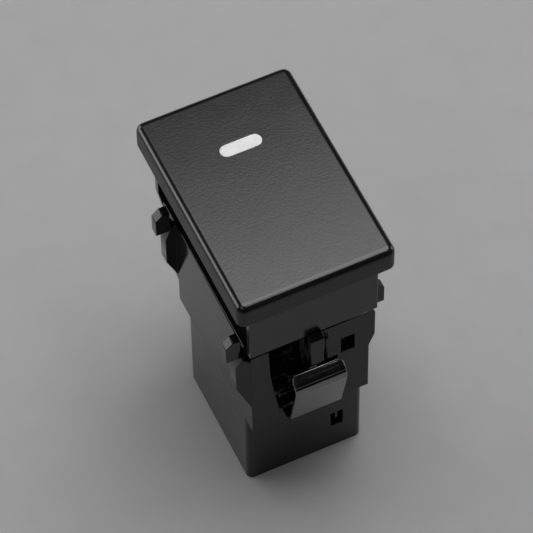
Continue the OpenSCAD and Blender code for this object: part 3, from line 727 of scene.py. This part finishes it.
SPRING_TREE = spring_tree()
SPRING_SOCKETS = [item for item in SPRING_TREE.interface.items_tree if item.in_out == "INPUT"]
SPRING_IDS = {item.name: item.identifier for item in SPRING_SOCKETS}
print("spring inputs:", sorted(SPRING_IDS))

# %% Springs
def spring(name, node, sizes, placed):
    """A spring of the given sizes as a plain mesh, placed, which stands for a CAD node."""
    piece = add_object(name, bpy.data.meshes.new(name))
    modifier = piece.modifiers.new("spring", "NODES")
    modifier.node_group = SPRING_TREE
    for label, value in sizes.items():
        modifier[SPRING_IDS[label]] = value
    modifier[SPRING_IDS["Material"]] = spring_wire
    mesh = plain_mesh(piece)
    mesh.transform(placed)
    mesh.shade_smooth()
    piece.data = mesh
    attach(piece, frame["nodes"][node]["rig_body"])
    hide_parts(node)
    return piece


RETURN_WIRE = 0.6 * MM
low, high = (Vector(v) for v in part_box("return_spring"))
return_length = high.z - low.z
return_centre = Vector(((low.x + high.x) / 2, (low.y + high.y) / 2, low.z))
return_coil = spring(
    "return_coil", "return_spring",
    {"Coil radius": (high.x - low.x - RETURN_WIRE) / 2, "Wire radius": RETURN_WIRE / 2,
     "Length": return_length, "Turns": 8, "Points per turn": 40, "Wire sides": 14},
    Matrix.Translation(return_centre))
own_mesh(return_coil)

CONTACT_WIRE = 0.4 * MM
low, high = (Vector(v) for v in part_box("contact_spring"))
contact_centre = Vector((low.x, (low.y + high.y) / 2, (low.z + high.z) / 2))
spring(
    "contact_coil", "contact_spring",
    {"Coil radius": (high.y - low.y - CONTACT_WIRE) / 2, "Wire radius": CONTACT_WIRE / 2,
     "Length": high.x - low.x, "Turns": 5, "Points per turn": 32, "Wire sides": 12},
    Matrix.Translation(contact_centre) @ Matrix.Rotation(math.pi / 2, 4, "Y"))

# %% [markdown]
# ## Floor and light
# The table is a plain pale sheet. The key light hangs over the switch and a little behind it, and the
# button's face mirrors its back edge. That edge is soft: four sheets of different depth lie on one
# another, so the light fades out in steps, and the face gets its even run from dark to light. A narrow
# strip carries the key light on to the front, where the button's front edge mirrors it. A long low panel
# at the back left lights the left walls by way of the table, and a weaker one stands on the right. One
# high fill softens the shadow. Nothing else shines from in front, which is why the front edge goes black
# just past its bright line.

# %% Floor
HALF_FLOOR = 3.0
FLOOR_DARK, FLOOR_LIGHT = ((v, v, v) for v in (0.37, 0.385))
FLOOR_MOTTLE_MM, FLOOR_ROUGHNESS, FLOOR_SHINE = 6.0, 0.6, 0.2
floor_mesh = bpy.data.meshes.new("floor")
corners = [(x * HALF_FLOOR, y * HALF_FLOOR, 0) for x, y in ((-1, -1), (1, -1), (1, 1), (-1, 1))]
floor_mesh.from_pydata(corners, [], [(0, 1, 2, 3)])
floor = add_object("floor", floor_mesh)
floor_grey, tree, shader, where = start_finish("floor_grey")
floor_tone = tint(tree, grain(tree, where, FLOOR_MOTTLE_MM, 0, 1), FLOOR_DARK, FLOOR_LIGHT)
tree.links.new(floor_tone, shader.inputs["Base Color"])
shader.inputs["Roughness"].default_value = FLOOR_ROUGHNESS
shader.inputs["Specular IOR Level"].default_value = FLOOR_SHINE
floor_mesh.materials.append(floor_grey)
print("floor", 2 * HALF_FLOOR, "m wide")

# %% Lamps and world
WORLD_GREY = 0.012
world = bpy.data.worlds.new("world")
world.use_nodes = True
world.node_tree.nodes["Background"].inputs["Color"].default_value = (WORLD_GREY, WORLD_GREY, WORLD_GREY, 1)
scene.world = world


def panel(name, centre, aim_at, size, watts):
    """A soft rectangular lamp that faces a point."""
    data = bpy.data.lights.new(name, "AREA")
    data.shape = "RECTANGLE"
    data.size, data.size_y = size
    data.energy = watts
    light = add_object(name, data)
    light.location = centre
    light.rotation_euler = (Vector(centre) - Vector(aim_at)).to_track_quat("Z", "Y").to_euler()
    print(name, "watts", watts)


def panel_down(name, centre, size, watts):
    """A soft rectangular lamp that faces straight down."""
    panel(name, centre, (*centre[:2], 0), size, watts)


TARGET = (0, 0, 0.03)
KEY_X, KEY_FRONT, KEY_HEIGHT, KEY_WIDTH, KEY_BRIGHTNESS = 0.085, -0.06, 0.40, 0.33, 4.5
KEY_BACKS, KEY_GAP = (0.18, 0.203, 0.226, 0.242), 2 * MM
for sheet, key_back in enumerate(KEY_BACKS):
    depth = key_back - KEY_FRONT
    middle = (KEY_X, KEY_FRONT + depth / 2, KEY_HEIGHT + sheet * KEY_GAP)
    # A flat lamp's watts are its brightness times pi times its area
    watts = KEY_BRIGHTNESS / len(KEY_BACKS) * math.pi * KEY_WIDTH * depth
    panel_down("key_" + str(sheet + 1), middle, (KEY_WIDTH, depth), watts)
panel_down("key_lip", (0.1, -0.13, KEY_HEIGHT), size=(0.06, 0.14), watts=0.12)
panel("low_left", (-0.485, 0.485, 0.24), TARGET, size=(0.7, 0.34), watts=2.75)
panel("low_right", (0.69, 0, 0.15), TARGET, size=(0.36, 0.22), watts=0.6)
panel_down("fill_left", (-0.36, -0.2, 0.55), size=(0.24, 0.4), watts=0.4)
